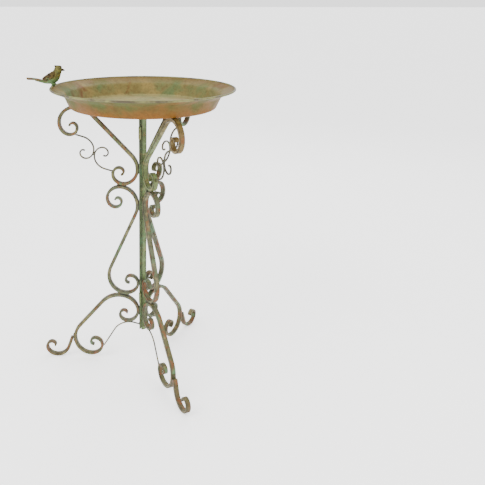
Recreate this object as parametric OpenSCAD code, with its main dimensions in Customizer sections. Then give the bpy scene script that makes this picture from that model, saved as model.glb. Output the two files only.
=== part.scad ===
// Bird bath: a spun metal basin with a perched bird, on a folding stand of three scrollwork panels.
// Millimetres, Z up. The post's axis is the Z axis and the ground is the plane z = 0.
// The left panel is fixed. The front and rear panels are hinged to it and fold flat against it.

/* [Basin] */
// Diameter over the rolled rim
rim_d = 430; // [400:1:540]
// Diameter of the flat floor
base_d = 340; // [320:1:350]
// Height from the underside of the floor to the top of the rim
basin_depth = 45; // [36:1:60]
// Diameter where the sloping wall turns out into the lip
wall_top_d = 366; // [360:1:380]
// Height of the sloping wall
wall_h = 29; // [20:1:30]
// Thickness of the sheet
sheet_t = 1.5; // [1:0.1:2]
// Diameter of the rolled edge
bead_d = 4.4; // [3.6:0.1:6]
// Clearance under the basin, where it rests on the arms
seat_gap = 0.3; // [0.1:0.1:1]

/* [Stand] */
// Height of the arms' highest point, where the basin rests
seat_h = 699; // [600:1:860]
// Width of the bar, square to the panel
bar_w = 12; // [10:0.5:14]
// Thickness of the bar, within the panel
bar_t = 8.5; // [7:0.1:10]
// Thickness that the bar tapers to at the inner end of a coil
bar_end_t = 4.5; // [3.5:0.1:6]
// Width of a stile
stile_w = 12; // [10:0.5:14]
// Thickness of a stile
stile_t = 5; // [5:0.5:8]
// Thickness of the wire
wire_t = 3.6; // [3:0.1:4.5]
// Height of the stiles' lower ends above the ground
stile_foot_h = 102; // [90:1:120]
// Distance from the stiles' upper ends up to the basin's seat
stile_drop = 6; // [3:0.5:20]
// Gap between the edges of two stiles
edge_gap = 0.4; // [0.2:0.1:2]
// Gap at each welded contact
weld_gap = 0.1; // [0.05:0.05:0.3]
// Gap between one scroll and the next one up the stile
scroll_gap = 0.3; // [0.2:0.1:3]

/* [Arm scroll] */
// Length of the arm's straight part
arm_straight = 137; // [120:1:170]
// Slope of the straight part above the horizontal
arm_slope = 45.5; // [40:0.5:50]
// Bending radius where the outer coil begins
arm_outer_r = 57; // [50:1:64]
// Turn of the outer coil
arm_outer_turn = 500; // [440:5:520]
// Bending radius where the inner coil begins
arm_inner_r = 51.5; // [46:0.5:60]
// Turn of the inner coil
arm_inner_turn = 495; // [440:5:520]

/* [Middle scroll] */
// Bending radius where the upper coil begins
middle_upper_r = 57; // [46:1:60]
// Turn of the upper coil
middle_upper_turn = 555; // [460:5:560]
// Bending radius where the lower coil begins
middle_lower_r = 61; // [54:1:70]
// Turn of the lower coil
middle_lower_turn = 500; // [460:5:520]

/* [Leg and foot] */
// Height of the leg's lower coil above the ground
leg_lift = 10.5; // [8:1:20]
// Length of the leg's straight part
leg_straight = 100; // [80:1:130]
// Slope of the leg's straight part below the horizontal
leg_slope = 50; // [44:0.5:56]
// Bending radius where the leg's upper coil begins
leg_upper_r = 69; // [60:1:76]
// Turn of the leg's upper coil
leg_upper_turn = 510; // [460:5:520]
// Bending radius where the leg's lower coil begins
leg_lower_r = 64; // [56:1:72]
// Turn of the leg's lower coil
leg_lower_turn = 510; // [460:5:520]
// Slope of the foot's straight part below the horizontal
foot_slope = 70.5; // [62:0.5:76]
// Bending radius where the foot's coil begins
foot_r = 44; // [36:1:50]
// Turn of the foot's coil
foot_turn = 380; // [340:5:420]
// Bending radius at the inner end of every flat-bar coil
coil_end_r = 5.5; // [4.5:0.5:8]

/* [Wires] */
// Slope of the wire curls where they leave the arm's coils
wire_slope = 15.5; // [10:0.5:22]
// Bending radius where a wire curl begins
wire_r = 37.5; // [30:0.5:42]
// Turn of a wire curl
wire_turn = 400; // [380:5:460]
// Bending radius at the inner end of a wire curl
wire_end_r = 4.5; // [3.5:0.5:6]
// Turn of the arm's outer coil up to the place where its wire is welded on
outer_root_turn = 262; // [250:1:275]
// Turn of the arm's inner coil up to the place where its wire is welded on
inner_root_turn = 246; // [235:1:260]
// Slope of the brace wire where it leaves the stile
brace_rise = 14; // [8:1:20]
// Slope of the brace wire where it runs down to the leg's lower coil
brace_fall = 60; // [55:0.5:64]
// Bending radius of the brace wire
brace_r = 50; // [40:1:60]

/* [Hinges] */
// Outside diameter of a knuckle
knuckle_d = 7; // [6:0.5:9]
// Diameter of a hinge pin
pin_d = 3.2; // [2.5:0.1:4]
// Clearance all round a pin in its knuckles
pin_clearance = 0.05; // [0.02:0.01:0.1]
// Gap between a knuckle and the edge of a stile
knuckle_gap = 0.3; // [0.2:0.1:0.6]
// Height of each outer knuckle
outer_knuckle_h = 9; // [7:0.5:12]
// Height of the middle knuckle
middle_knuckle_h = 9.4; // [7:0.2:12]
// Gap between two knuckles
knuckle_play = 0.3; // [0.2:0.1:0.6]
// Diameter of a pin's head
pin_head_d = 5.6; // [4.8:0.1:7]
// Thickness of a pin's head
pin_head_h = 1.4; // [1:0.1:2]
// Distance from the stiles' upper ends down to the middle of the upper hinges
upper_hinge_drop = 55; // [40:1:80]
// Distance from the stiles' lower ends up to the middle of the lower hinges
lower_hinge_rise = 97; // [80:1:120]

/* [Bird] */
// Length of the bird's tail beyond its perch
tail_l = 65; // [50:1:80]
// Height of the bird's crown above its perch
bird_h = 42; // [36:1:50]
// Width of the bird's body
bird_w = 20; // [16:1:26]
// Thickness of the bird's tail
tail_t = 3; // [2:0.5:4]

/* [Hidden] */
PANELS = ["left", "front", "rear"];
PANEL_PIECES = ["stile", "arm_scroll", "middle_scroll", "leg_scroll", "foot_scroll",
                "outer_wire", "inner_wire", "brace_wire"];
HINGES = ["front_hinge", "rear_hinge"];
HINGE_PIECES = ["fixed_knuckles", "moving_knuckles", "pins"];
$fn = 64;

// Directions of the three panels, and of the two hinges, which stand half way between two panels
panel_azimuth = [180, 300, 60];
hinge_azimuth = [240, 120];
half_corner = 60;

// The three stiles stand round the axis with their edges edge_gap apart
stile_inner = (stile_w / 2 + edge_gap) / tan(half_corner);
stile_face = stile_inner + stile_t;
stile_top_h = seat_h - stile_drop;
// A wire's middle line stands off what it is welded to by this much
wire_seat = wire_t / 2 + weld_gap;

// Turn of each step of a coil's outline
coil_step = 7.5;

function reversed(list) = [for (i = [len(list) - 1:-1:0]) list[i]];
function moved(points, by) = [for (p = points) p + by];
function ray(angle) = [cos(angle), sin(angle)];
function lowest(points, axis) = min([for (p = points) p[axis]]);
function highest(points, axis) = max([for (p = points) p[axis]]);
function reach(points, direction) = max([for (p = points) p * direction]);
function arc(centre, r, from, to) =
    let (count = ceil(abs(to - from) / coil_step))
    [for (i = [0:count]) centre + r * ray(from + (to - from) * i / count)];

// A coil is [first bending radius, last bending radius, turn], and a negative turn is clockwise.
// Its radius shrinks from step to step, a little slower at first than at the inner end.
coil_delay = 1.1;
function coil_r(coil, turn) = coil[0] * pow(coil[1] / coil[0], pow(abs(turn / coil[2]), coil_delay));
function coil_part(start, heading, coil, turn) =
    let (count = ceil(turn / coil_step), step = sign(coil[2]) * turn / count)
    [for (i = 0, p = start; i <= count;
          p = p + 2 * coil_r(coil, (i + 0.5) * step) * sin(abs(step) / 2)
              * ray(heading + (i + 0.5) * step),
          i = i + 1) p];
function coil_points(start, heading, coil) = coil_part(start, heading, coil, abs(coil[2]));
function coil_point(start, heading, coil, turn) =
    let (points = coil_part(start, heading, coil, turn)) points[len(points) - 1];

// A scroll is a straight bar with a coil at each end. The straight part starts at [0, 0].
function scroll(straight, heading, fore, aft) =
    concat(reversed(coil_points([0, 0], heading + 180, aft)),
           coil_points(straight * ray(heading), heading, fore));

// The bar keeps its thickness between the coils and tapers along each coil
function tapered(part) = bar_t + (bar_end_t - bar_t) * part;
function coil_thickness(coil, turn) = tapered(turn / abs(coil[2]));
function coil_thicknesses(coil) =
    let (count = ceil(abs(coil[2]) / coil_step))
    [for (i = [0:count]) tapered(i / count)];
function scroll_thicknesses(fore, aft) = concat(reversed(coil_thicknesses(aft)), coil_thicknesses(fore));
function even(points, thickness) = [for (p = points) thickness];

// The outline of a strip along a line of points, with its thickness at each point
function normal(points, i) =
    let (d = points[min(i + 1, len(points) - 1)] - points[max(i - 1, 0)])
    [-d[1], d[0]] / norm(d);
function side(points, thicknesses, way) =
    [for (i = [0:len(points) - 1]) points[i] + way * thicknesses[i] / 2 * normal(points, i)];
function strip(points, thicknesses) =
    concat(side(points, thicknesses, 1), reversed(side(points, thicknesses, -1)));
function coil_outline(start, heading, coil) =
    strip(coil_points(start, heading, coil), coil_thicknesses(coil));

// Arm scroll: its inner coil lies against the stile and its peak carries the basin
arm_outer = [arm_outer_r, coil_end_r, -arm_outer_turn];
arm_inner = [arm_inner_r, coil_end_r, arm_inner_turn];
arm_free = strip(scroll(arm_straight, arm_slope, arm_outer, arm_inner),
                 scroll_thicknesses(arm_outer, arm_inner));
arm_place = [stile_face + weld_gap - lowest(arm_free, 0), seat_h - highest(arm_free, 1)];
arm_outline = moved(arm_free, arm_place);

// Leg scroll: its upper coil lies against the stile
leg_upper = [leg_upper_r, coil_end_r, leg_upper_turn];
leg_lower = [leg_lower_r, coil_end_r, -leg_lower_turn];
leg_free = strip(scroll(leg_straight, 180 - leg_slope, leg_upper, leg_lower),
                 scroll_thicknesses(leg_upper, leg_lower));
leg_place = [stile_face + weld_gap - lowest(leg_free, 0), leg_lift - lowest(leg_free, 1)];
leg_outline = moved(leg_free, leg_place);
leg_lower_outline = moved(coil_outline([0, 0], -leg_slope, leg_lower), leg_place);
leg_upper_outline = moved(coil_outline(leg_straight * ray(180 - leg_slope), 180 - leg_slope, leg_upper),
                          leg_place);

// Middle scroll: it fills the height between the leg and the arm, and it leans just so much
// that both of its coils lie against the stile
middle_low_h = highest(leg_outline, 1) + scroll_gap;
middle_high_h = lowest(arm_outline, 1) - scroll_gap;
middle_upper = [middle_upper_r, coil_end_r, -middle_upper_turn];
middle_lower = [middle_lower_r, coil_end_r, -middle_lower_turn];
function middle_upper_coil(lean) = coil_outline([0, 0], 180 - lean, middle_upper);
function middle_lower_coil(lean) = coil_outline([0, 0], -lean, middle_lower);
function middle_straight(lean) =
    (middle_high_h - middle_low_h - highest(middle_upper_coil(lean), 1)
     + lowest(middle_lower_coil(lean), 1)) / sin(lean);
function middle_mismatch(lean) =
    lowest(middle_lower_coil(lean), 0) + middle_straight(lean) * cos(lean)
    - lowest(middle_upper_coil(lean), 0);
function solved_lean(low, high, rounds) =
    let (half = (low + high) / 2)
    rounds == 0 ? half
    : middle_mismatch(half) > 0 ? solved_lean(half, high, rounds - 1)
    : solved_lean(low, half, rounds - 1);
middle_lean = solved_lean(50, 85, 24);
middle_free = strip(scroll(middle_straight(middle_lean), -middle_lean, middle_lower, middle_upper),
                    scroll_thicknesses(middle_lower, middle_upper));
middle_outline = moved(middle_free, [stile_face + weld_gap - lowest(middle_free, 0),
                                     middle_low_h - lowest(middle_free, 1)]);

// Foot scroll: it is welded to the leg where the leg runs plumb, and its coil rests on the ground
foot_coil = [foot_r, coil_end_r, foot_turn];
leg_plumb_turn = 90 - leg_slope;
foot_pitch = (coil_thickness(leg_lower, leg_plumb_turn) + bar_t) / 2 + weld_gap;
foot_root = coil_point([0, 0], -leg_slope, leg_lower, leg_plumb_turn) + leg_place + [foot_pitch, 0];
foot_drop = -lowest(coil_outline([0, 0], -foot_slope, foot_coil), 1);
foot_bend = foot_root + (foot_root[1] - foot_drop) / sin(foot_slope) * ray(-foot_slope);
foot_outline = strip(concat([foot_root], coil_points(foot_bend, -foot_slope, foot_coil)),
                     concat([bar_t], coil_thicknesses(foot_coil)));

// Wire curls: one leaves each coil of the arm. The inner curl is the outer one turned half round
// about the middle of their roots, and they meet there.
wire_heading = 180 + wire_slope;
wire_coil = [wire_r, wire_end_r, wire_turn];
// A wire's square end stands off a bar's middle line by this much, where the bar lies at bar_angle
function end_pitch(thickness, bar_angle) =
    thickness / 2 + weld_gap + wire_t / 2 * abs(cos(wire_heading - bar_angle));
outer_root_angle = arm_slope - outer_root_turn;
inner_root_angle = arm_slope + inner_root_turn;
outer_root = coil_point(arm_straight * ray(arm_slope), arm_slope, arm_outer, outer_root_turn)
             + arm_place
             + end_pitch(coil_thickness(arm_outer, outer_root_turn), outer_root_angle)
               * ray(outer_root_angle + 90);
inner_root = coil_point([0, 0], arm_slope + 180, arm_inner, inner_root_turn)
             + arm_place
             + end_pitch(coil_thickness(arm_inner, inner_root_turn), inner_root_angle)
               * ray(inner_root_angle + 90);
wires_middle = (outer_root + inner_root) / 2;
wire_coil_reach = reach(coil_points([0, 0], wire_heading, wire_coil), ray(wire_heading));
wire_straight = (wires_middle - outer_root) * ray(wire_heading) - wire_coil_reach
                - (wire_t + weld_gap) / 2;
outer_wire_line = concat([outer_root],
                         coil_points(outer_root + wire_straight * ray(wire_heading), wire_heading,
                                     wire_coil));
inner_wire_line = [for (p = outer_wire_line) 2 * wires_middle - p];

// Brace wire: it runs from the stile, under the leg's upper coil, to the near side of its lower coil
brace_top_h = lowest([for (p = leg_upper_outline) if (p[0] < leg_upper_r) p], 1) - wire_seat;
leg_near_side = [for (p = leg_lower_outline) if (p[0] == lowest(leg_lower_outline, 0)) p][0];
brace_end = leg_near_side - [wire_seat, 0];
brace_side = ray(90 - brace_fall);
brace_centre_h = brace_top_h - brace_r;
brace_centre = [(brace_end * brace_side - brace_r - brace_centre_h * brace_side[1]) / brace_side[0],
                brace_centre_h];
// The wire leaves the stile at its own slope, or on the bend itself where the bend reaches the stile first
brace_meeting = asin((brace_centre[0] - stile_face - weld_gap) / (brace_r + wire_t / 2));
brace_start = min(brace_rise, brace_meeting);
brace_arc = arc(brace_centre, brace_r, 90 + brace_start, 90 - brace_fall);
brace_back = (brace_arc[0][0] - stile_face - weld_gap - wire_t / 2 * sin(brace_start)) / cos(brace_start);
brace_root = brace_start < brace_meeting ? [brace_arc[0] - brace_back * ray(brace_start)] : [];
brace_line = concat(brace_root, brace_arc, [brace_end]);

// Hinges: each axis stands beside the edges of two stiles
hinge_r = (stile_w / 2 + knuckle_d / 2 + knuckle_gap) / sin(half_corner);
hinge_heights = [stile_foot_h + lower_hinge_rise, stile_top_h - upper_hinge_drop];
knuckle_pitch = (middle_knuckle_h + outer_knuckle_h) / 2 + knuckle_play;
pin_reach = knuckle_pitch + outer_knuckle_h / 2 + knuckle_play;

// Basin: the sheet's middle line runs from the axis along the floor, up the wall and out to the rim
basin_h = seat_h + seat_gap;
floor_h = basin_h + sheet_t / 2;
rim_top_h = basin_h + basin_depth;
wall_top = [wall_top_d / 2, basin_h + wall_h];
bead_centre = [(rim_d - bead_d) / 2, rim_top_h - bead_d / 2];
lip_heading = atan2(bead_centre[1] - wall_top[1], bead_centre[0] - wall_top[0]);
lip_end = bead_centre - bead_d / 2 * ray(lip_heading);
// Half the angle that the sheet takes up on the rolled edge
bead_mouth = asin(sheet_t / bead_d);
floor_corner_r = 6;
shoulder_r = 12;
// The arc that rounds a corner has its centre on the bisector of the corner's two sides
function corner(before, at, after, r) =
    let (a = (before - at) / norm(before - at),
         b = (after - at) / norm(after - at),
         half = acos(a * b) / 2,
         middle = (a + b) / norm(a + b),
         centre = at + middle * r / sin(half),
         facing = atan2(-middle[1], -middle[0]),
         bend = (90 - half) * sign(a[0] * b[1] - a[1] * b[0]))
    arc(centre, r, facing + bend, facing - bend);
basin_knots = [[0, floor_h], [base_d / 2, floor_h], wall_top, lip_end];
basin_line = concat([basin_knots[0]],
                    corner(basin_knots[0], basin_knots[1], basin_knots[2], floor_corner_r),
                    corner(basin_knots[1], basin_knots[2], basin_knots[3], shoulder_r),
                    [basin_knots[3]]);
basin_sheet = even(basin_line, sheet_t);
basin_outline = concat(side(basin_line, basin_sheet, 1),
                       arc(bead_centre, bead_d / 2, lip_heading + 180 - bead_mouth,
                           lip_heading - 180 + bead_mouth),
                       reversed(side(basin_line, basin_sheet, -1)));

module on_panel(azimuth) {
    rotate([0, 0, azimuth]) children();
}

// An outline in the panel's own plane: first coordinate out from the post, second one up
module bent_bar(outline, width) {
    rotate([90, 0, 0]) linear_extrude(width, center = true) polygon(outline);
}

module bent_wire(line) {
    bent_bar(strip(line, even(line, wire_t)), wire_t);
}

module stile() {
    color("darkseagreen")
        translate([stile_inner, -stile_w / 2, stile_foot_h])
        cube([stile_t, stile_w, stile_top_h - stile_foot_h]);
}

module arm_scroll() {
    color("olivedrab") bent_bar(arm_outline, bar_w);
}

module middle_scroll() {
    color("darkolivegreen") bent_bar(middle_outline, bar_w);
}

module leg_scroll() {
    color("darkolivegreen") bent_bar(leg_outline, bar_w);
}

module foot_scroll() {
    color("sienna") bent_bar(foot_outline, bar_w);
}

module outer_wire() {
    color("darkseagreen") bent_wire(outer_wire_line);
}

module inner_wire() {
    color("darkseagreen") bent_wire(inner_wire_line);
}

module brace_wire() {
    color("darkolivegreen") bent_wire(brace_line);
}

module knuckle(height) {
    difference() {
        cylinder(h = height, d = knuckle_d, center = true);
        cylinder(h = height + 1, d = pin_d + 2 * pin_clearance, center = true);
    }
}

module at_hinges(azimuth) {
    rotate([0, 0, azimuth])
        for (h = hinge_heights) translate([hinge_r, 0, h]) children();
}

module fixed_knuckles(azimuth) {
    color("darkseagreen")
        at_hinges(azimuth)
        for (end = [-1, 1]) translate([0, 0, end * knuckle_pitch]) knuckle(outer_knuckle_h);
}

module moving_knuckles(azimuth) {
    color("seagreen") at_hinges(azimuth) knuckle(middle_knuckle_h);
}

module hinge_pins(azimuth) {
    color("peru")
        at_hinges(azimuth) {
            cylinder(h = 2 * pin_reach, d = pin_d, center = true);
            for (end = [-1, 1])
                translate([0, 0, end * (pin_reach + pin_head_h / 2)])
                cylinder(h = pin_head_h, d = pin_head_d, center = true);
        }
}

module basin_pan() {
    color("darkkhaki") rotate_extrude($fn = 128) polygon(basin_outline);
}

// The bird looks along -X and stands on the origin, tail out along +X
module bird_shape() {
    head_r = 7.5;
    rump = [6, 0, 11];
    breast = [-10, 0, 17];
    head = [-16, 0, bird_h - head_r];
    tail_root = [14, 0, 9];
    tail_tip = [tail_l, 0, 15];
    // Body
    hull() {
        translate(rump) sphere(d = bird_w * 0.75, $fn = 24);
        translate(breast) sphere(d = bird_w * 0.9, $fn = 24);
    }
    // Neck and head
    hull() {
        translate(breast) sphere(d = bird_w * 0.8, $fn = 24);
        translate(head) sphere(r = head_r, $fn = 24);
    }
    // Tail
    hull() {
        translate(tail_root) cube([tail_t, bird_w / 2, tail_t * 2], center = true);
        translate(tail_tip - [tail_t, 0, 0])
            rotate([90, 0, 0]) cylinder(h = bird_w * 0.6, d = tail_t, center = true, $fn = 24);
    }
    // Crest
    hull() {
        translate(head + [-5, 0, head_r]) sphere(d = 4, $fn = 16);
        translate(head + [6, 0, head_r + 2]) sphere(d = 4, $fn = 16);
        translate(head) sphere(d = 4, $fn = 16);
    }
    // Beak
    translate(head + [-head_r + 1, 0, 0])
        rotate([0, -100, 0]) cylinder(h = 9, d1 = 5, d2 = 1);
    // Feet
    for (foot = [-1, 1])
        translate([0, foot * bird_w * 0.15, weld_gap]) cylinder(h = 10, d = 3.4);
}

module bird() {
    color("olivedrab")
        on_panel(panel_azimuth[0]) translate([bead_centre[0], 0, rim_top_h]) bird_shape();
}

for (i = [0:2]) on_panel(panel_azimuth[i]) {
    stile();
    arm_scroll();
    middle_scroll();
    leg_scroll();
    foot_scroll();
    outer_wire();
    inner_wire();
    brace_wire();
}
for (i = [0:1]) {
    fixed_knuckles(hinge_azimuth[i]);
    moving_knuckles(hinge_azimuth[i]);
    hinge_pins(hinge_azimuth[i]);
}
basin_pan();
bird();
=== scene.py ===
"""Looks of the bird bath: a patinated pan with a perched bird, on a folding stand of scrollwork panels."""

import math

import bmesh
import bpy
from mathutils import Matrix, Vector, noise
from mathutils.bvhtree import BVHTree


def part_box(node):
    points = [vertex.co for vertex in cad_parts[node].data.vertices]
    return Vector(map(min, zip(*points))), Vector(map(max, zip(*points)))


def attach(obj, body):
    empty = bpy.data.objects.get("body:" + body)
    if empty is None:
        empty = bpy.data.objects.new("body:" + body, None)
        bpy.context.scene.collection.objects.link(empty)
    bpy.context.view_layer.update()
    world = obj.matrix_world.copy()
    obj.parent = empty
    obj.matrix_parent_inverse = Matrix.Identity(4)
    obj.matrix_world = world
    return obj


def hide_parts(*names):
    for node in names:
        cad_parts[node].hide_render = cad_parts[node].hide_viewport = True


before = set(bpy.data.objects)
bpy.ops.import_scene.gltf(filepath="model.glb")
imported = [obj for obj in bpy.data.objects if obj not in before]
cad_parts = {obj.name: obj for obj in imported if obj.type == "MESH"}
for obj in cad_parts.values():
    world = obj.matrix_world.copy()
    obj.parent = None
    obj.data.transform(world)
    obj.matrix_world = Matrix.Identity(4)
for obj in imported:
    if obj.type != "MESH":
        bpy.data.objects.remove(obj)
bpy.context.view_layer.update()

MM = 0.001
UP = Vector((0, 0, 1))

# Direction of each panel out from the post, and the body that it belongs to
PANEL_AZIMUTH = {"left": 180, "front": 300, "rear": 60}
PANEL_BODY = {"left": "fixed_panel", "front": "front_panel", "rear": "rear_panel"}

# The pan, from its axis out to its rolled edge
RIM_R = 215 * MM
FLOOR_R = 170 * MM
WALL_TOP_R = 183 * MM
WALL_H = 29 * MM
SHEET_T = 1.5 * MM
BEAD_R = 2.2 * MM
FLOOR_CORNER_R = 6 * MM
SHOULDER_R = 12 * MM
PAN_STEPS = 192
PAN_LOW, PAN_HIGH = (corner.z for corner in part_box("basin_pan"))


def direction(azimuth):
    """Level unit vector at an azimuth in degrees."""
    return Vector((math.cos(math.radians(azimuth)), math.sin(math.radians(azimuth)), 0))


# ---------------------------------------------------------------- materials


def srgb(code):
    """Linear colour from a six-digit hex code."""
    channels = [int(code[i : i + 2], 16) / 255 for i in (0, 2, 4)]
    return [c / 12.92 if c <= 0.04045 else ((c + 0.055) / 1.055) ** 2.4 for c in channels] + [1]


# Bars and wires
VERDIGRIS = srgb("4a7048")
RUST = srgb("6a360e")
TAN = srgb("82774a")
EARTH = srgb("2e2610")
SOOT = srgb("0e0d08")
STILE_GREEN = srgb("5e7242")
ARM_OLIVE = srgb("55562c")
ARM_GREEN = srgb("566434")
GOLD = srgb("66501c")
OLIVE = srgb("504f2a")
GREY_OLIVE = srgb("4b4f34")
FOOT_BROWN = srgb("4e4621")
WIRE_DARK = srgb("343320")
HINGE_GREEN = srgb("5f7040")
WELD_BROWN = srgb("403c20")

# Inside of the pan
PAN_OCHRE = srgb("685c30")
PAN_OLIVE = srgb("525e38")
PAN_TAN = srgb("806c38")
PAN_RUST = srgb("5a3312")
PAN_FLOOR_PALE = srgb("8f885a")
PAN_LIP_BROWN = srgb("5c451a")
PAN_SMEAR = srgb("4c3a16")
PAN_SPECK = srgb("33270a")

# Outside of the pan
WALL_BROWN = srgb("62461a")
WALL_OLIVE = srgb("49502a")
WALL_ORANGE = srgb("6d420e")
WALL_SMEAR = srgb("43360f")
WALL_SPECK = srgb("3a270a")
EDGE_DARK = srgb("3a3119")
EDGE_WORN = srgb("6c6a3c")

# Bird
BIRD_BLOOM = srgb("46613a")


class Finish:
    """A material under construction: each method adds one node and returns its output."""

    def __init__(self, name):
        self.material = bpy.data.materials.new(name)
        self.material.use_nodes = True
        self.nodes = self.material.node_tree.nodes
        self.links = self.material.node_tree.links
        self.shader = self.nodes["Principled BSDF"]
        self.place = self.nodes.new("ShaderNodeTexCoord").outputs["Object"]

    def spread(self, stretch, shift):
        """Object coordinates, stretched and moved."""
        mapping = self.nodes.new("ShaderNodeMapping")
        mapping.inputs["Scale"].default_value = stretch
        mapping.inputs["Location"].default_value = shift
        self.links.new(self.place, mapping.inputs["Vector"])
        return mapping.outputs["Vector"]

    def clouds(self, size, detail=4, roughness=0.6, stretch=(1, 1, 1), shift=0, warp=0):
        """Cloudy noise whose blotches are about size metres across."""
        node = self.nodes.new("ShaderNodeTexNoise")
        node.inputs["Scale"].default_value = 1 / size
        node.inputs["Detail"].default_value = detail
        node.inputs["Roughness"].default_value = roughness
        node.inputs["Distortion"].default_value = warp
        self.links.new(self.spread(stretch, (shift, shift, shift)), node.inputs["Vector"])
        return node.outputs["Fac"]

    def between(self, value, low, high, bottom=0, top=1):
        """Value taken smoothly from bottom at low to top at high."""
        node = self.nodes.new("ShaderNodeMapRange")
        node.interpolation_type = "SMOOTHSTEP"
        node.inputs["From Min"].default_value = low
        node.inputs["From Max"].default_value = high
        node.inputs["To Min"].default_value = bottom
        node.inputs["To Max"].default_value = top
        self.links.new(value, node.inputs["Value"])
        return node.outputs["Result"]

    def arithmetic(self, operation, first, second, clamped):
        """Two values, or a value and a number, put together."""
        node = self.nodes.new("ShaderNodeMath")
        node.operation = operation
        node.use_clamp = clamped
        for socket, value in zip(node.inputs, (first, second)):
            if isinstance(value, (int, float)):
                socket.default_value = value
            else:
                self.links.new(value, socket)
        return node.outputs["Value"]

    def times(self, first, second):
        """Product of two values, kept between 0 and 1."""
        return self.arithmetic("MULTIPLY", first, second, clamped=True)

    def plus(self, first, second):
        """Sum of two values, kept between 0 and 1."""
        return self.arithmetic("ADD", first, second, clamped=True)

    def minus(self, first, second):
        """First value less the second."""
        return self.arithmetic("SUBTRACT", first, second, clamped=False)

    def mixed(self, amount, under, over):
        """Colour over laid on colour under by amount."""
        node = self.nodes.new("ShaderNodeMix")
        node.data_type = "RGBA"
        factor, first_colour, second_colour = node.inputs[0], node.inputs[6], node.inputs[7]
        for socket, value in ((factor, amount), (first_colour, under), (second_colour, over)):
            if isinstance(value, (int, float, list)):
                socket.default_value = value
            else:
                self.links.new(value, socket)
        return node.outputs[2]

    def height(self):
        """Height above the ground in metres."""
        node = self.nodes.new("ShaderNodeSeparateXYZ")
        self.links.new(self.place, node.inputs["Vector"])
        return node.outputs["Z"]

    def outwards(self):
        """Distance from the post's axis in metres."""
        node = self.nodes.new("ShaderNodeVectorMath")
        node.operation = "LENGTH"
        self.links.new(self.spread((1, 1, 0), (0, 0, 0)), node.inputs[0])
        return node.outputs["Value"]

    def attribute(self, name):
        """A number painted on the piece."""
        node = self.nodes.new("ShaderNodeAttribute")
        node.attribute_name = name
        return node.outputs["Fac"]

    def finish(self, colour, roughness, relief, depth, specular=0.35):
        """Joins colour, roughness and relief to the shader and returns the material."""
        bump = self.nodes.new("ShaderNodeBump")
        bump.inputs["Distance"].default_value = depth
        bump.inputs["Strength"].default_value = 1
        self.links.new(relief, bump.inputs["Height"])
        self.links.new(bump.outputs["Normal"], self.shader.inputs["Normal"])
        self.links.new(colour, self.shader.inputs["Base Color"])
        self.links.new(roughness, self.shader.inputs["Roughness"])
        self.shader.inputs["Specular IOR Level"].default_value = specular
        return self.material


def bar_patina(name, near, far, green_amount, rust_amount, shift):
    """Patina on a bar: near's tone by the post, far's out at the coils, green bloom, rust, and painted shade
    darkening the rounded edges.
    """
    f = Finish(name)
    by_post = 70 * MM
    out_at_coils = 150 * MM
    ground = f.mixed(f.between(f.outwards(), by_post, out_at_coils), near, far)
    mottle = f.between(f.clouds(16 * MM, detail=5, roughness=0.65, shift=shift), 0.35, 0.65)
    ground = f.mixed(f.times(mottle, 0.55), ground, EARTH)
    patches = f.clouds(22 * MM, detail=5, roughness=0.65, shift=shift + 9, warp=0.5)
    ground = f.mixed(f.between(patches, 0.52, 0.66, top=0.55), ground, TAN)

    bloom = f.clouds(40 * MM, shift=shift + 3, warp=0.4)
    green = f.between(bloom, 0.66 - green_amount, 0.80 - green_amount, top=0.7)
    colour = f.mixed(green, ground, VERDIGRIS)
    streaks = f.clouds(28 * MM, detail=5, roughness=0.7, stretch=(1.6, 1.6, 0.6), shift=shift + 7, warp=0.5)
    rusty = f.between(streaks, 0.68 - rust_amount, 0.82 - rust_amount, top=0.8)
    colour = f.mixed(rusty, colour, RUST)

    # Painted shade: the rounded edges are darkened towards soot so the bars look shaded at their sides,
    # broken up by cloudy noise
    broken = f.between(f.clouds(9 * MM, roughness=0.7, shift=shift + 5), 0.30, 0.62, bottom=0.55)
    painted_edge_shade = f.times(f.between(f.attribute("edge"), 0.05, 0.6, top=0.95), broken)
    colour = f.mixed(painted_edge_shade, colour, SOOT)
    grain = f.clouds(1.8 * MM, detail=3, roughness=0.7, shift=shift)
    pits = f.between(grain, 0.32, 0.48, bottom=0.5, top=0)
    colour = f.mixed(pits, colour, SOOT)

    roughness = f.between(mottle, 0, 1, bottom=0.48, top=0.7)
    relief = f.plus(f.times(grain, 0.4), f.times(mottle, 0.5))
    return f.finish(colour, roughness, relief, 0.4 * MM)


def pan_inside_patina():
    """Inside of the pan: olive, tan and rust clouds, a paler floor and a browner lip."""
    f = Finish("pan_inside")
    broad = f.between(f.clouds(75 * MM, detail=5, roughness=0.62, warp=0.6), 0.38, 0.62)
    colour = f.mixed(broad, PAN_OCHRE, PAN_OLIVE)
    tan = f.between(f.clouds(55 * MM, detail=5, shift=4, warp=0.5), 0.46, 0.64, top=0.7)
    colour = f.mixed(tan, colour, PAN_TAN)
    rusty = f.between(f.clouds(62 * MM, detail=6, roughness=0.65, shift=9, warp=0.8), 0.50, 0.68, top=0.8)
    colour = f.mixed(rusty, colour, PAN_RUST)

    floor = f.between(f.height(), PAN_LOW + 2 * MM, PAN_LOW + 7 * MM, bottom=0.45, top=0)
    colour = f.mixed(floor, colour, PAN_FLOOR_PALE)
    lip = f.between(f.height(), PAN_LOW + WALL_H, PAN_HIGH - 2 * MM, top=0.75)
    colour = f.mixed(lip, colour, PAN_LIP_BROWN)

    smears = f.clouds(26 * MM, detail=6, roughness=0.7, shift=14, warp=1.2)
    colour = f.mixed(f.between(smears, 0.30, 0.50, bottom=0.55, top=0), colour, PAN_SMEAR)
    fine = f.clouds(5 * MM, detail=5, roughness=0.7, shift=2)
    colour = f.mixed(f.between(fine, 0.36, 0.52, bottom=0.3, top=0), colour, PAN_SPECK)
    roughness = f.between(broad, 0, 1, bottom=0.55, top=0.75)
    return f.finish(colour, roughness, fine, 0.3 * MM, specular=0.15)


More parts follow.
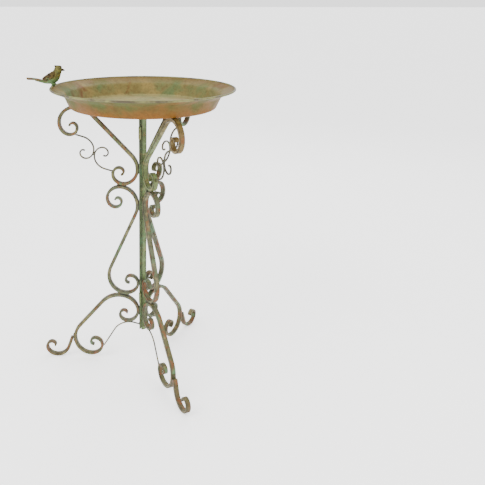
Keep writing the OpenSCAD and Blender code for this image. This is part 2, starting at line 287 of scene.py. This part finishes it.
def pan_outside_patina():
    """Outside of the pan: olive and brown above, an orange rust band round the foot of the wall."""
    f = Finish("pan_outside")
    olive = f.between(f.clouds(48 * MM, detail=5, shift=6, warp=0.4), 0.36, 0.66)
    colour = f.mixed(olive, WALL_BROWN, WALL_OLIVE)
    wander = f.times(f.clouds(60 * MM, detail=5, roughness=0.65, warp=0.6), 30 * MM)
    level = f.minus(f.height(), wander)
    band = f.between(level, PAN_LOW - 16 * MM, PAN_LOW + 9 * MM, bottom=0.85, top=0)
    colour = f.mixed(band, colour, WALL_ORANGE)

    smears = f.clouds(30 * MM, detail=6, roughness=0.7, stretch=(1, 1, 2.4), shift=21, warp=1.0)
    colour = f.mixed(f.between(smears, 0.32, 0.52, bottom=0.5, top=0), colour, WALL_SMEAR)
    fine = f.clouds(6 * MM, detail=5, roughness=0.7, shift=2)
    colour = f.mixed(f.between(fine, 0.36, 0.54, bottom=0.3, top=0), colour, WALL_SPECK)
    roughness = f.between(olive, 0, 1, bottom=0.55, top=0.75)
    return f.finish(colour, roughness, fine, 0.3 * MM, specular=0.15)


def bead_patina():
    """Rolled edge of the pan: worn dark olive."""
    f = Finish("pan_edge")
    worn = f.between(f.clouds(34 * MM, detail=5, warp=0.5), 0.4, 0.62)
    colour = f.mixed(worn, EDGE_DARK, EDGE_WORN)
    fine = f.clouds(3 * MM, roughness=0.7)
    roughness = f.between(worn, 0, 1, bottom=0.45, top=0.65)
    return f.finish(colour, roughness, fine, 0.2 * MM)


def bird_patina(name, light, dark, green_amount, shift):
    """Cast figure: light and dark mottling, green bloom towards the feet, a little rust and dark pits."""
    f = Finish(name)
    mottle = f.between(f.clouds(7 * MM, detail=5, roughness=0.65, shift=shift), 0.35, 0.65)
    colour = f.mixed(mottle, light, dark)
    low_down = f.between(f.height(), PAN_HIGH + 4 * MM, PAN_HIGH + 30 * MM, bottom=0.35, top=0)
    bloom = f.plus(f.clouds(12 * MM, shift=shift + 3), low_down)
    green = f.between(bloom, 0.74 - green_amount, 0.92 - green_amount, top=0.85)
    colour = f.mixed(green, colour, BIRD_BLOOM)
    rusty = f.between(f.clouds(9 * MM, detail=5, roughness=0.7, shift=shift + 8), 0.60, 0.72, top=0.6)
    colour = f.mixed(rusty, colour, RUST)
    grain = f.clouds(1.2 * MM, detail=3, roughness=0.7, shift=shift)
    colour = f.mixed(f.between(grain, 0.30, 0.46, bottom=0.5, top=0), colour, SOOT)
    roughness = f.between(mottle, 0, 1, bottom=0.45, top=0.65)
    return f.finish(colour, roughness, grain, 0.25 * MM, specular=0.15)


# Two tones for each finish, how much green bloom it has, and for bars how much rust
MATERIALS = {
    "stile": bar_patina("stile_green", STILE_GREEN, STILE_GREEN, 0.14, 0.06, shift=0),
    "arm": bar_patina("arm_olive", ARM_OLIVE, OLIVE, 0.14, 0.19, shift=11),
    "front_arm": bar_patina("arm_gold", ARM_GREEN, GOLD, 0.04, 0.12, shift=13),
    "bar": bar_patina("bar_olive", GREY_OLIVE, OLIVE, 0.13, 0.18, shift=17),
    "foot": bar_patina("foot_brown", OLIVE, FOOT_BROWN, 0.10, 0.20, shift=19),
    "wire": bar_patina("wire_olive", WIRE_DARK, WIRE_DARK, 0.04, 0.06, shift=23),
    "hinge": bar_patina("hinge_green", HINGE_GREEN, HINGE_GREEN, 0.12, 0.08, shift=29),
    "weld": bar_patina("weld_olive", WELD_BROWN, WELD_BROWN, 0.10, 0.12, shift=31),
    "pan_inside": pan_inside_patina(),
    "pan_outside": pan_outside_patina(),
    "pan_edge": bead_patina(),
    "bird_body": bird_patina("bird_body", srgb("66602c"), srgb("3f3b1a"), 0.16, shift=41),
    "bird_feathers": bird_patina("bird_feathers", srgb("5a4c22"), srgb("2c200c"), 0.06, shift=47),
    "bird_tail": bird_patina("bird_tail", srgb("5a4520"), srgb("2a1d0b"), 0.02, shift=53),
    "bird_dark": bird_patina("bird_dark", srgb("30220f"), srgb("181107"), 0.0, shift=59),
}

# ---------------------------------------------------------------- making pieces

# Corners of a CAD mesh that are nearer than this are one, and edges that turn by more than this are rounded
MERGE = 0.002 * MM
ROUNDED_FROM = math.radians(50)


def made(name, shape, materials, body, nodes=()):
    """Turns a finished bmesh into a piece of the object."""
    mesh = bpy.data.meshes.new(name)
    shape.to_mesh(mesh)
    shape.free()
    piece = bpy.data.objects.new(name, mesh)
    bpy.context.scene.collection.objects.link(piece)
    for material in materials:
        mesh.materials.append(MATERIALS[material])
    mesh.shade_smooth()
    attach(piece, body)
    if nodes:
        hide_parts(*nodes)
    return piece


def skin_of(node):
    """A CAD node's surface as one closed skin of flat faces."""
    shape = bmesh.new()
    shape.from_mesh(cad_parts[node].data)
    bmesh.ops.remove_doubles(shape, verts=shape.verts, dist=MERGE)
    nearly_flat = math.radians(0.5)
    bmesh.ops.dissolve_limit(shape, angle_limit=nearly_flat, verts=shape.verts, edges=shape.edges)
    return shape


def round_edges(shape, width, segments, shade_reach=0.0):
    """Rounds every sharp edge. With a shade reach, it marks the roundings for painted dark edge shade that
    fades out that far onto the flats.
    """
    joined = [edge for edge in shape.edges if len(edge.link_faces) == 2]
    edges = [edge for edge in joined if edge.calc_face_angle() > ROUNDED_FROM]
    rounding = set(bmesh.ops.bevel(
        shape, geom=edges, offset=width, offset_type="OFFSET", segments=segments, profile=0.5,
        affect="EDGES", material=-1, clamp_overlap=True,
    )["faces"])
    if shade_reach:
        broad = [face for face in shape.faces if len(face.verts) > 4]
        bmesh.ops.triangulate(shape, faces=broad, ngon_method="BEAUTY")
        flats = [face for face in shape.faces if face not in rounding]
        bmesh.ops.inset_region(shape, faces=flats, thickness=shade_reach, use_boundary=True, use_even_offset=True)
        # Marks the roundings where the painted edge shade is strongest
        edge_shade_mark = shape.verts.layers.float.new("edge")
        for face in rounding:
            for vertex in face.verts:
                vertex[edge_shade_mark] = 1


def crisp(piece):
    """Smooth shading that keeps broad faces flat."""
    sharp_from = math.radians(40)
    piece.data.set_sharp_from_angle(angle=sharp_from)
    normals = piece.modifiers.new("flat_faces", "WEIGHTED_NORMAL")
    normals.keep_sharp = True


def bar(panel, part, material, width, shade_reach):
    """One bar of a panel, with rounded edges."""
    node = f"{panel}_{part}"
    shape = skin_of(node)
    round_edges(shape, width, segments=3, shade_reach=shade_reach)
    piece = made(f"{node}_bar", shape, [material], PANEL_BODY[panel], [node])
    crisp(piece)


# Each bar's material, its material slot, how far its edges are rounded, and how far the painted edge shade
# runs onto its flats
BARS = {
    "stile": ("stile", "stile_patina", 1.0 * MM, 0.9 * MM),
    "arm_scroll": ("arm", "arm_patina", 1.2 * MM, 0.8 * MM),
    "middle_scroll": ("bar", "bar_patina", 1.2 * MM, 0.8 * MM),
    "leg_scroll": ("bar", "bar_patina", 1.2 * MM, 0.8 * MM),
    "foot_scroll": ("foot", "bar_patina", 1.2 * MM, 0.8 * MM),
    "outer_wire": ("wire", "wire_patina", 1.5 * MM, 0.0),
    "inner_wire": ("wire", "wire_patina", 1.5 * MM, 0.0),
    "brace_wire": ("wire", "wire_patina", 1.5 * MM, 0.0),
}
for panel in PANEL_AZIMUTH:
    for part, (material, slot, width, shade_reach) in BARS.items():
        if panel == "front" and part == "arm_scroll":
            material = "front_arm"
        bar(panel, part, material, width, shade_reach)

# ---------------------------------------------------------------- hinges and welds


def hinge_piece(hinge, part, body):
    """Knuckles or pins of a hinge, with their rims rounded."""
    node = f"{hinge}_{part}"
    shape = skin_of(node)
    round_edges(shape, 0.5 * MM, segments=2)
    piece = made(f"{node}_metal", shape, ["hinge"], body, [node])
    crisp(piece)


for hinge, moving_body in (("front_hinge", "front_panel"), ("rear_hinge", "rear_panel")):
    hinge_piece(hinge, "fixed_knuckles", "fixed_panel")
    hinge_piece(hinge, "pins", "fixed_panel")
    hinge_piece(hinge, "moving_knuckles", moving_body)


def meeting(first, second):
    """Where two CAD nodes come nearest to each other, and the direction from one to the other."""
    meshes = [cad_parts[node].data for node in (first, second)]
    trees = []
    for mesh in meshes:
        corners = [vertex.co for vertex in mesh.vertices]
        faces = [face.vertices for face in mesh.polygons]
        trees.append(BVHTree.FromPolygons(corners, faces))
    nearest = None
    for mesh, other in ((meshes[0], trees[1]), (meshes[1], trees[0])):
        for vertex in mesh.vertices:
            point, _, _, gap = other.find_nearest(vertex.co)
            if nearest is None or gap < nearest[0]:
                nearest = (gap, vertex.co.copy(), point)
    _, here, there = nearest
    return (here + there) / 2, (there - here).normalized()


# A weld bead's half lengths across the panel, along the bars and from bar to bar, and how far it sits
# from the bars' contact
BAR_WELD = ((5.2 * MM, 3.6 * MM, 1.7 * MM), 8.5 * MM)
WIRE_WELD = ((1.9 * MM, 1.7 * MM, 1.3 * MM), 2.9 * MM)
WELDS = [
    ("stile", "arm_scroll", BAR_WELD),
    ("stile", "middle_scroll", BAR_WELD),
    ("stile", "leg_scroll", BAR_WELD),
    ("stile", "brace_wire", WIRE_WELD),
    ("leg_scroll", "foot_scroll", BAR_WELD),
    ("leg_scroll", "brace_wire", WIRE_WELD),
    ("arm_scroll", "outer_wire", WIRE_WELD),
    ("arm_scroll", "inner_wire", WIRE_WELD),
    ("outer_wire", "inner_wire", WIRE_WELD),
    ("arm_scroll", "middle_scroll", BAR_WELD),
    ("leg_scroll", "middle_scroll", BAR_WELD),
]


def weld_bead(shape, place, sideways, toward, half_size):
    """One lumpy bead between two bars. Its place sets its lumps, so that no two beads are alike."""
    along = sideways.cross(toward).normalized()
    bead = bmesh.ops.create_icosphere(shape, subdivisions=3, radius=1)["verts"]
    half_lengths = (sideways * half_size[0], along * half_size[1], toward * half_size[2])
    turn = Matrix(half_lengths).transposed()
    lump_depth = 0.22
    lump_count = 1.9
    own_lumps = place * 200
    for vertex in bead:
        lump = 1 + lump_depth * noise.noise(vertex.co * lump_count + own_lumps)
        vertex.co = place + turn @ (vertex.co * lump)


def panel_welds(panel):
    """All the weld beads of one panel as one piece, one bead on each side of each contact."""
    sideways = direction(PANEL_AZIMUTH[panel] + 90)
    shape = bmesh.new()
    for first, second, (half_size, reach) in WELDS:
        place, toward = meeting(f"{panel}_{first}", f"{panel}_{second}")
        place -= sideways * place.dot(sideways)
        toward = (toward - sideways * toward.dot(sideways)).normalized()
        along = sideways.cross(toward).normalized()
        for way in (-1, 1):
            weld_bead(shape, place + along * way * reach, sideways, toward, half_size)
    bmesh.ops.recalc_face_normals(shape, faces=shape.faces)
    made(f"{panel}_welds", shape, ["weld"], PANEL_BODY[panel])


for panel in PANEL_AZIMUTH:
    panel_welds(panel)

# ---------------------------------------------------------------- pan


def rounded(before, at, after, radius, steps):
    """Points of the arc that rounds a corner of an outline in the XZ plane."""
    back = (before - at).normalized()
    onwards = (after - at).normalized()
    half_corner = back.angle(onwards) / 2
    middle = (back + onwards).normalized()
    centre = at + middle * (radius / math.sin(half_corner))
    sweep = math.pi - 2 * half_corner
    turned = 1 if back.cross(onwards).y > 0 else -1
    points = []
    for i in range(steps + 1):
        turn = Matrix.Rotation(turned * sweep * (0.5 - i / steps), 3, "Y")
        points.append(centre - turn @ middle * radius)
    return points


def pan_line():
    """Middle of the pan's sheet from the axis out to the rolled edge, and the edge's centre."""
    floor = PAN_LOW + SHEET_T / 2
    bead = Vector((RIM_R - BEAD_R, 0, PAN_HIGH - BEAD_R))
    knots = [
        Vector((0, 0, floor)),
        Vector((FLOOR_R, 0, floor)),
        Vector((WALL_TOP_R, 0, PAN_LOW + WALL_H)),
        bead,
    ]
    corner = rounded(knots[0], knots[1], knots[2], FLOOR_CORNER_R, steps=8)
    shoulder = rounded(knots[1], knots[2], knots[3], SHOULDER_R, steps=10)
    return [knots[0]] + corner + shoulder + [bead], bead


def offset_line(points, distance):
    """A line moved sideways in the XZ plane."""
    moved = []
    for i, point in enumerate(points):
        along = points[min(i + 1, len(points) - 1)] - points[max(i - 1, 0)]
        across = Vector((-along.z, 0, along.x)).normalized()
        moved.append(point + across * distance)
    return moved


def pan_outline():
    """Outline of the sheet, out along its inside and back along its outside, and the rolled edge's centre."""
    line, bead = pan_line()
    lip = (bead - line[-2]).normalized()
    sheet = line[:-1] + [bead - lip * BEAD_R]
    mouth = math.asin(SHEET_T / 2 / BEAD_R)
    roll = []
    roll_steps = 20
    for i in range(roll_steps + 1):
        turn = math.pi - mouth - i / roll_steps * 2 * (math.pi - mouth)
        roll.append(bead + Matrix.Rotation(-turn, 3, "Y") @ lip * BEAD_R)
    inner = offset_line(sheet, SHEET_T / 2)
    outer = offset_line(sheet, -SHEET_T / 2)
    return inner + roll + outer[::-1], bead


def pan():
    """The pan, spun from its outline: inside, outside and rolled edge have a finish each."""
    outline, bead = pan_outline()
    shape = bmesh.new()
    corners = [shape.verts.new(point) for point in outline]
    edges = [shape.edges.new(pair) for pair in zip(corners, corners[1:])]
    bmesh.ops.spin(
        shape, geom=corners + edges, cent=(0, 0, 0), axis=UP, dvec=(0, 0, 0),
        angle=2 * math.pi, steps=PAN_STEPS, use_merge=True, use_duplicate=False,
    )
    seam = 0.01 * MM
    bmesh.ops.remove_doubles(shape, verts=shape.verts, dist=seam)
    bmesh.ops.recalc_face_normals(shape, faces=shape.faces)
    inside, outside, edge = range(3)
    edge_reach = BEAD_R * 1.02
    for face in shape.faces:
        middle = face.calc_center_median()
        out = Vector((middle.x, middle.y, 0)).length
        if (Vector((out, 0, middle.z)) - bead).length < edge_reach:
            face.material_index = edge
        elif face.normal.z < 0:
            face.material_index = outside
        else:
            face.material_index = inside
    finishes = ["pan_inside", "pan_outside", "pan_edge"]
    made("pan", shape, finishes, "basin", ["basin_pan"])


pan()

# ---------------------------------------------------------------- bird

# The bird stands on the rolled edge above the left panel. Its beak points in over the pan, its tail outwards.
PERCH_R = RIM_R - BEAD_R
PERCH_OUT = direction(180)
PERCH_SIDE = direction(270)

BIRD_FINISHES = ["bird_body", "bird_feathers", "bird_tail", "bird_dark"]
BODY, FEATHERS, TAIL, DARK = range(4)


def at_perch(x, y, z):
    """Point in millimetres: outwards from the rolled edge, sideways, and up from the edge's top."""
    return PERCH_OUT * (PERCH_R + x * MM) + PERCH_SIDE * (y * MM) + UP * (PAN_HIGH + z * MM)


def loft(shape, rings, corners=12, material=BODY):
    """Closed skin over a row of oval rings, each a centre, sideways direction, half width and half depth."""
    centres = [ring[0] for ring in rings]
    before = set(shape.faces)
    loops = []
    for i, (centre, side, half_width, half_depth) in enumerate(rings):
        heading = (centres[min(i + 1, len(rings) - 1)] - centres[max(i - 1, 0)]).normalized()
        depth = heading.cross(side).normalized()
        width = depth.cross(heading)
        turn = Matrix((width * half_width, depth * half_depth, heading)).transposed().to_4x4()
        place = Matrix.Translation(centre) @ turn
        circle = bmesh.ops.create_circle(shape, segments=corners, radius=1, matrix=place)
        around = [edge for vertex in circle["verts"] for edge in vertex.link_edges]
        loops.append(list(dict.fromkeys(around)))
    for near, far in zip(loops, loops[1:]):
        bmesh.ops.bridge_loops(shape, edges=near + far)
    for end in (loops[0], loops[-1]):
        bmesh.ops.edgeloop_fill(shape, edges=end)
    for face in set(shape.faces) - before:
        face.material_index = material


def oval(x, z, half_width, half_depth, y=0.0):
    """Ring across the bird in millimetres: outwards, up, half width, half depth, and how far to the side."""
    return (at_perch(x, y, z), PERCH_SIDE, half_width * MM, half_depth * MM)


def feather(shape, root, tip, out, half_width, thickness, material):
    """One feather: a thin leaf from root to tip that bows a little outwards."""
    along = tip - root
    side = out.cross(along).normalized()
    out = along.cross(side).normalized()
    bow_share = 0.04
    # Shares of the way along and of the full width there
    leaf = ((0.0, 0.55), (0.2, 0.85), (0.5, 1.0), (0.8, 0.85), (0.94, 0.5), (1.0, 0.12))
    rings = []
    for way, width in leaf:
        bow = math.sin(math.pi * way) * along.length * bow_share
        rings.append((root + along * way + out * bow, side, half_width * width, thickness / 2))
    loft(shape, rings, corners=8, material=material)


def bird_body(shape):
    """Body, neck and head in one skin, from the rump to the crown."""
    loft(shape, [
        oval(26, 7.6, 3.6, 2.8),
        oval(18, 9.0, 6.6, 5.8),
        oval(10, 12.0, 9.0, 9.8),
        oval(2, 15.0, 10.2, 12.8),
        oval(-5, 19.5, 10.4, 13.4),
        oval(-10, 26.0, 9.4, 11.2),
        oval(-13, 32.0, 8.4, 9.0),
        oval(-15, 37.0, 8.4, 9.6),
        oval(-16, 41.5, 6.6, 8.0),
        oval(-16.2, 44.4, 3.4, 4.8),
    ], corners=20)


# Rings of the folded wing's pad from shoulder to tip: outwards, sideways, up, half height and half depth
WING_PAD = [
    (-10, 7.6, 29, 2.4, 1.6),
    (-5, 9.6, 27, 5.8, 2.4),
    (2, 10.3, 22.5, 7.4, 2.6),
    (9, 9.0, 18.5, 6.4, 2.3),
    (16, 6.8, 15, 4.4, 1.7),
    (23, 4.6, 13, 2.0, 0.9),
]
# Rows of wing feathers from the lowest up: outwards, up, how many, length, half width and sideways place
WING_ROWS = [
    (5, 20.5, 5, 19, 2.3, 11.9),
    (0, 24, 6, 13, 2.4, 12.9),
    (-5, 27, 5, 9, 2.2, 12.6),
]


def bird_wing(shape, flank):
    """Folded wing on one flank: a pad with three rows of overlapping feathers, light and dark by turns.

    Along a row, share goes from -1 at its first feather to 1 at its last, and both ends bend inwards.
    """
    thickness = 1.5 * MM
    rings = []
    for x, y, z, half_height, half_depth in WING_PAD:
        rings.append((at_perch(x, y * flank, z), UP, half_height * MM, half_depth * MM))
    loft(shape, rings, corners=16, material=FEATHERS)
    for row, (x, z, count, length, half_width, reach) in enumerate(WING_ROWS):
        for i in range(count):
            share = (i / (count - 1) - 0.5) * 2
            bend = 1.5 * share * share
            root = at_perch(x + share * 2.4, (reach - bend - 1.2) * flank, z + share * 5.0)
            tip_x = x + length * 0.88 + share * 1.6
            tip_z = z - length * 0.46 + share * 3.4
            tip = at_perch(tip_x, (reach - 0.2 * length - bend) * flank, tip_z)
            material = DARK if (i + row) % 2 else FEATHERS
            feather(shape, root, tip, PERCH_SIDE * flank, half_width * MM, thickness, material)


def bird_tail(shape):
    """Five long tail feathers, laid over each other like a closed fan, on a taper from the rump."""
    for i in range(-2, 3):
        root = at_perch(17, i * 1.6, 9.4 - abs(i) * 0.5)
        tip = at_perch(63.2 - abs(i) * 1.8, i * 3.5, 15.4 - abs(i) * 0.8)
        feather(shape, root, tip, UP, 3.9 * MM, (4.2 - abs(i) * 0.6) * MM, TAIL)
    loft(shape, [
        oval(16, 8.2, 5.8, 4.8),
        oval(25, 8.8, 5.4, 3.6),
        oval(34, 10.0, 5.6, 2.4),
        oval(43, 11.2, 5.4, 1.2),
    ])


def bird_crest(shape):
    """Swept feathers in two rows over the crown."""
    for i in range(5):
        for flank in (-1, 1):
            root = at_perch(-23.0 + i * 2.9, 2.6 * flank, 40.6 + i * 0.4)
            tip = at_perch(-17.0 + i * 2.7, 1.4 * flank, 44.7)
            feather(shape, root, tip, PERCH_SIDE * flank, 2.2 * MM, 2.2 * MM, DARK)


def bird_beak(shape):
    """Short beak: a hooked upper half over a straight lower half."""
    loft(shape, [
        oval(-22.0, 36.6, 3.0, 2.8),
        oval(-25.4, 36.2, 2.2, 2.3),
        oval(-28.6, 35.2, 1.3, 1.5),
        oval(-31.0, 33.4, 0.4, 0.5),
    ], material=DARK)
    loft(shape, [
        oval(-22.0, 34.6, 2.4, 1.7),
        oval(-25.4, 34.0, 1.7, 1.3),
        oval(-28.2, 33.4, 0.6, 0.6),
    ], material=DARK)


def bird_eyes(shape):
    """On each side of the head, a dark bead in a flat ring."""
    for flank in (-1, 1):
        socket = at_perch(-19.2, 7.1 * flank, 38.6)
        for radius, flatness, material in ((2.0, 0.45, BODY), (1.35, 0.9, DARK)):
            ball = bmesh.ops.create_icosphere(shape, subdivisions=3, radius=radius * MM)["verts"]
            for vertex in ball:
                vertex.co.y *= flatness
                vertex.co += socket
            for face in {face for vertex in ball for face in vertex.link_faces}:
                face.material_index = material


def bird_toe(shape, y, spread, inwards):
    """One toe that bends round the rolled edge, spread sideways and slimmer at its claw."""
    toe_r = 0.8 * MM
    grip_r = BEAD_R + toe_r + 0.1 * MM
    edge = PERCH_OUT * PERCH_R + UP * (PAN_HIGH - BEAD_R)
    ring_count = 7
    degrees_per_ring = 16
    spread_by_ring = 3
    claw_from_ring = 5
    rings = []
    for i in range(ring_count):
        turn = math.radians(inwards * degrees_per_ring * i)
        over = UP * math.cos(turn) - PERCH_OUT * math.sin(turn)
        slip = PERCH_SIDE * (y + spread * min(1, i / spread_by_ring)) * MM
        slim = 1.0 if i < claw_from_ring else 1.35 - 0.13 * i
        rings.append((edge + slip + over * grip_r, PERCH_SIDE, toe_r * slim, toe_r * slim))
    loft(shape, rings, corners=8, material=DARK)


def bird_feet(shape):
    """Two legs, each with three toes over the rolled edge's inner side and one over its outer side."""
    for flank in (-1, 1):
        loft(shape, [
            oval(-3, 7.0, 5.0, 7.5, 4.0 * flank),
            oval(-1.5, 3.8, 4.0, 6.0, 3.8 * flank),
            oval(-0.5, 1.6, 2.6, 4.0, 3.5 * flank),
            oval(0, 0.5, 2.0, 3.0, 3.4 * flank),
        ])
        for spread, inwards in ((-1.7, 1), (0, 1), (1.7, 1), (0, -1)):
            bird_toe(shape, 3.4 * flank, spread, inwards)


def bird():
    """The perched bird, cast in one with its feet."""
    shape = bmesh.new()
    bird_body(shape)
    for flank in (-1, 1):
        bird_wing(shape, flank)
    bird_tail(shape)
    bird_crest(shape)
    bird_beak(shape)
    bird_eyes(shape)
    bird_feet(shape)
    bmesh.ops.recalc_face_normals(shape, faces=shape.faces)
    piece = made("bird_casting", shape, BIRD_FINISHES, "basin", ["bird"])
    smooth = piece.modifiers.new("rounding", "SUBSURF")
    smooth.levels = 2
    smooth.render_levels = 2


bird()

# ---------------------------------------------------------------- floor, lights and camera

FLOOR_SIZE = 200.0
FLOOR_GLOW = 0.9
BACKDROP_GLOW = 1.9
LIT_POINT = Vector((0, 0, 0.45))


def floor_paper():
    """Plain pale floor that glows a little, so that shadows on it stay faint."""
    f = Finish("floor_paper")
    tone = f.between(f.clouds(0.5, detail=2, roughness=0.5), 0, 1)
    colour = f.mixed(tone, srgb("f6f6f6"), srgb("f9f9f9"))
    f.shader.inputs["Emission Color"].default_value = (1, 1, 1, 1)
    f.shader.inputs["Emission Strength"].default_value = FLOOR_GLOW
    roughness = f.between(tone, 0, 1, bottom=0.9, top=0.95)
    return f.finish(colour, roughness, tone, 0, specular=0.1)


floor_shape = bmesh.new()
bmesh.ops.create_grid(floor_shape, x_segments=1, y_segments=1, size=FLOOR_SIZE / 2)
floor_mesh = bpy.data.meshes.new("floor")
floor_shape.to_mesh(floor_mesh)
floor_shape.free()
floor = bpy.data.objects.new("floor", floor_mesh)
floor_mesh.materials.append(floor_paper())
bpy.context.scene.collection.objects.link(floor)


def lamp(name, place, size, power, warmth):
    """A square soft light that faces the middle of the stand: white at a warmth of 0, warmer above it."""
    light = bpy.data.lights.new(name, "AREA")
    light.shape = "SQUARE"
    light.size = size
    light.energy = power
    light.color = (1, 1 - 0.06 * warmth, 1 - 0.12 * warmth)
    lamp_object = bpy.data.objects.new(name, light)
    bpy.context.scene.collection.objects.link(lamp_object)
    lamp_object.location = place
    lamp_object.rotation_euler = (LIT_POINT - Vector(place)).to_track_quat("-Z", "Y").to_euler()


lamp("key", (-1.6, -1.8, 2.6), size=1.8, power=80, warmth=0.3)
lamp("fill", (2.2, -1.6, 1.6), size=2.0, power=30, warmth=0.0)
lamp("back", (0.6, 2.2, 2.2), size=1.6, power=30, warmth=0.0)

world = bpy.data.worlds.new("studio")
world.use_nodes = True
backdrop = world.node_tree.nodes["Background"]
backdrop.inputs["Color"].default_value = (1, 1, 1, 1)
backdrop.inputs["Strength"].default_value = BACKDROP_GLOW
bpy.context.scene.world = world

# The camera stands a little higher than the pan and looks down at the stand, which stays left of the middle
CAMERA_DISTANCE = 1.409
CAMERA_HEIGHT = 0.929
CAMERA_AZIMUTH = -83.8
CAMERA_TILT = 22.21
CAMERA_LENS = 43.97
CAMERA_SHIFT = 0.2058
camera_data = bpy.data.cameras.new("camera")
camera_data.sensor_width = 36
camera_data.lens = CAMERA_LENS
camera_data.shift_x = CAMERA_SHIFT
camera = bpy.data.objects.new("camera", camera_data)
camera.location = direction(CAMERA_AZIMUTH) * CAMERA_DISTANCE + UP * CAMERA_HEIGHT
camera.rotation_euler = (math.radians(90 - CAMERA_TILT), 0, math.radians(CAMERA_AZIMUTH + 90))
bpy.context.scene.collection.objects.link(camera)
bpy.context.scene.camera = camera
